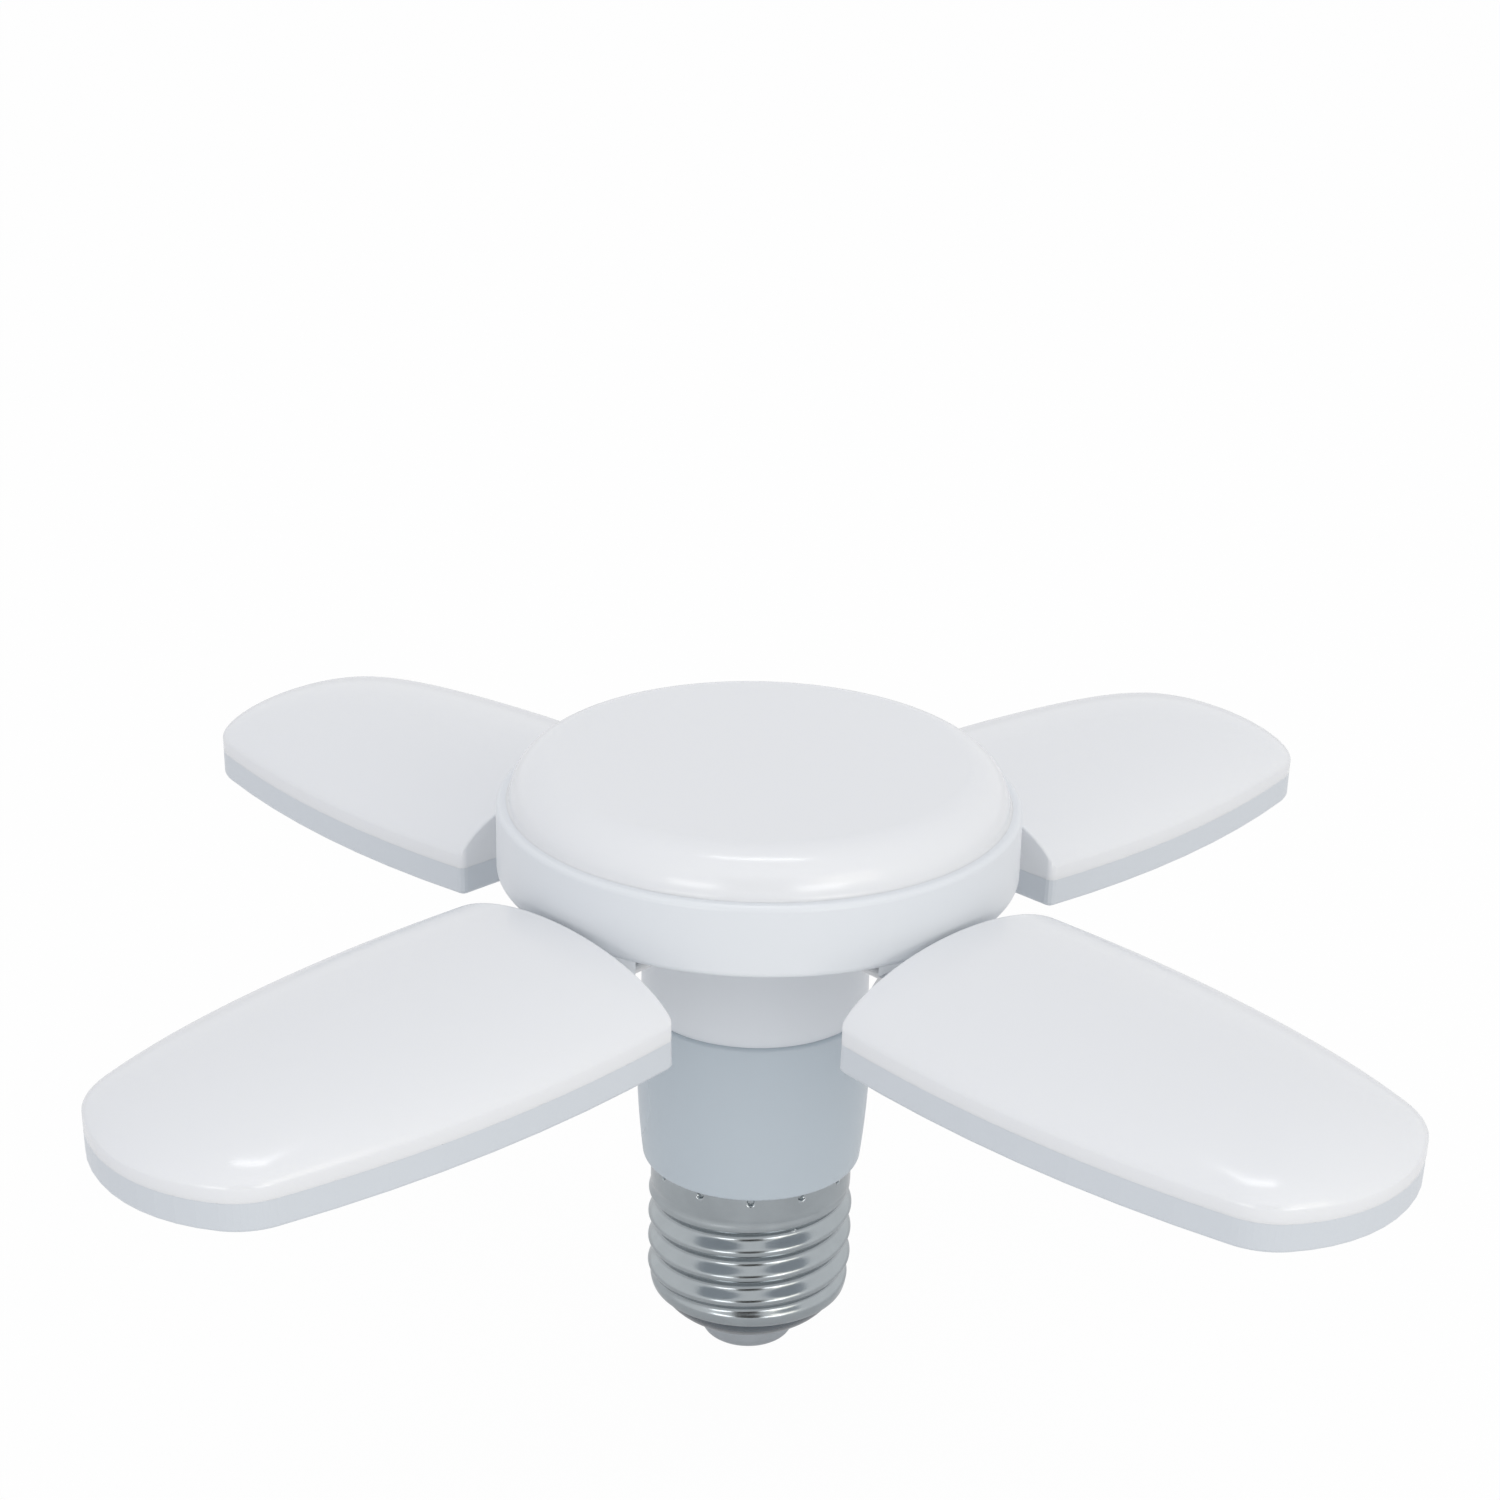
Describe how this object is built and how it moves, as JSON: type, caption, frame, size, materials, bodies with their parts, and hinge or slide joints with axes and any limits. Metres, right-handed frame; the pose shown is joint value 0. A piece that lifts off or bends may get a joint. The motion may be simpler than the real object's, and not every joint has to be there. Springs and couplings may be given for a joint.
{
  "type": "folding led lamp with hinged wings",
  "caption": "Screw-in LED lamp: a disc light on a round neck with an E27 cap, and flat crowned wings hinged round the rim that fold down along the neck.",
  "frame": {"origin": "centre of the cap's contact tip, the lowest point of the lamp as it stands on its cap", "axes": "+Z along the lamp's axis from the cap to the disc light; the wings lie along +X, +Y, -X and -Y"},
  "size_m": [0.1934, 0.1934, 0.0818],
  "materials": {
    "contact_metal": "tinned contact, satin",
    "insulator": "dark slate, smooth",
    "shell_metal": "bright nickel plating on rolled sheet",
    "neck_plastic": "blue-grey, satin",
    "white_plastic": "white, satin",
    "milky_plastic": "milky white diffuser, satin",
    "light_board": "white lacquer on aluminium",
    "emitter": "yellow phosphor in a white body",
    "steel": "zinc plated",
    "circuit_board": "green lacquer",
    "capacitor_can": "shrunk sleeve",
    "film_box": "dipped film capacitor",
    "ferrite": "ferrite drum with its winding",
    "chip_body": "moulded package",
    "resistor_body": "lacquered ceramic",
    "lead_cover": "insulated wire"
  },
  "bodies": {
    "lamp": {"centre_contact": "contact_metal", "cap_insulator": "insulator", "screw_shell": "shell_metal", "neck_housing": "neck_plastic", "hub_housing": "white_plastic", "disc_board": "light_board", "disc_leds": "emitter", "disc_board_screws": "steel", "disc_diffuser": "milky_plastic", "driver_board": "circuit_board", "electrolytic_capacitor": "capacitor_can", "film_capacitor": "film_box", "drum_inductor": "ferrite", "bridge_rectifier": "chip_body", "driver_chip": "chip_body", "fuse_resistor": "resistor_body", "live_lead": "lead_cover", "neutral_lead": "lead_cover", "disc_leads": "lead_cover", "hinge_screw_1": "steel", "hinge_screw_2": "steel", "hinge_screw_3": "steel", "hinge_screw_4": "steel", "hinge_nut_1": "steel", "hinge_nut_2": "steel", "hinge_nut_3": "steel", "hinge_nut_4": "steel", "hinge_washers_1": "steel", "hinge_washers_2": "steel", "hinge_washers_3": "steel", "hinge_washers_4": "steel", "wing_lead_1": "lead_cover", "wing_lead_2": "lead_cover", "wing_lead_3": "lead_cover", "wing_lead_4": "lead_cover"},
    "wing_1": {"wing_back_1": "white_plastic", "wing_diffuser_1": "milky_plastic", "wing_board_1": "light_board", "wing_leds_1": "emitter", "wing_board_screws_1": "steel"},
    "wing_2": {"wing_back_2": "white_plastic", "wing_diffuser_2": "milky_plastic", "wing_board_2": "light_board", "wing_leds_2": "emitter", "wing_board_screws_2": "steel"},
    "wing_3": {"wing_back_3": "white_plastic", "wing_diffuser_3": "milky_plastic", "wing_board_3": "light_board", "wing_leds_3": "emitter", "wing_board_screws_3": "steel"},
    "wing_4": {"wing_back_4": "white_plastic", "wing_diffuser_4": "milky_plastic", "wing_board_4": "light_board", "wing_leds_4": "emitter", "wing_board_screws_4": "steel"}
  },
  "joints": [
    {"name": "wing_1_fold", "type": "hinge", "parent": "lamp", "child": "wing_1", "pos_m": [0.0292, 0, 0.0615], "axis": [0, 1, 0], "range_deg": [-2, 88], "deforming": ["wing_lead_1"]},
    {"name": "wing_2_fold", "type": "hinge", "parent": "lamp", "child": "wing_2", "pos_m": [0, 0.0292, 0.0615], "axis": [-1, 0, 0], "range_deg": [-2, 88], "deforming": ["wing_lead_2"]},
    {"name": "wing_3_fold", "type": "hinge", "parent": "lamp", "child": "wing_3", "pos_m": [-0.0292, 0, 0.0615], "axis": [0, -1, 0], "range_deg": [-2, 88], "deforming": ["wing_lead_3"]},
    {"name": "wing_4_fold", "type": "hinge", "parent": "lamp", "child": "wing_4", "pos_m": [0, -0.0292, 0.0615], "axis": [1, 0, 0], "range_deg": [-2, 88], "deforming": ["wing_lead_4"]}
  ]
}
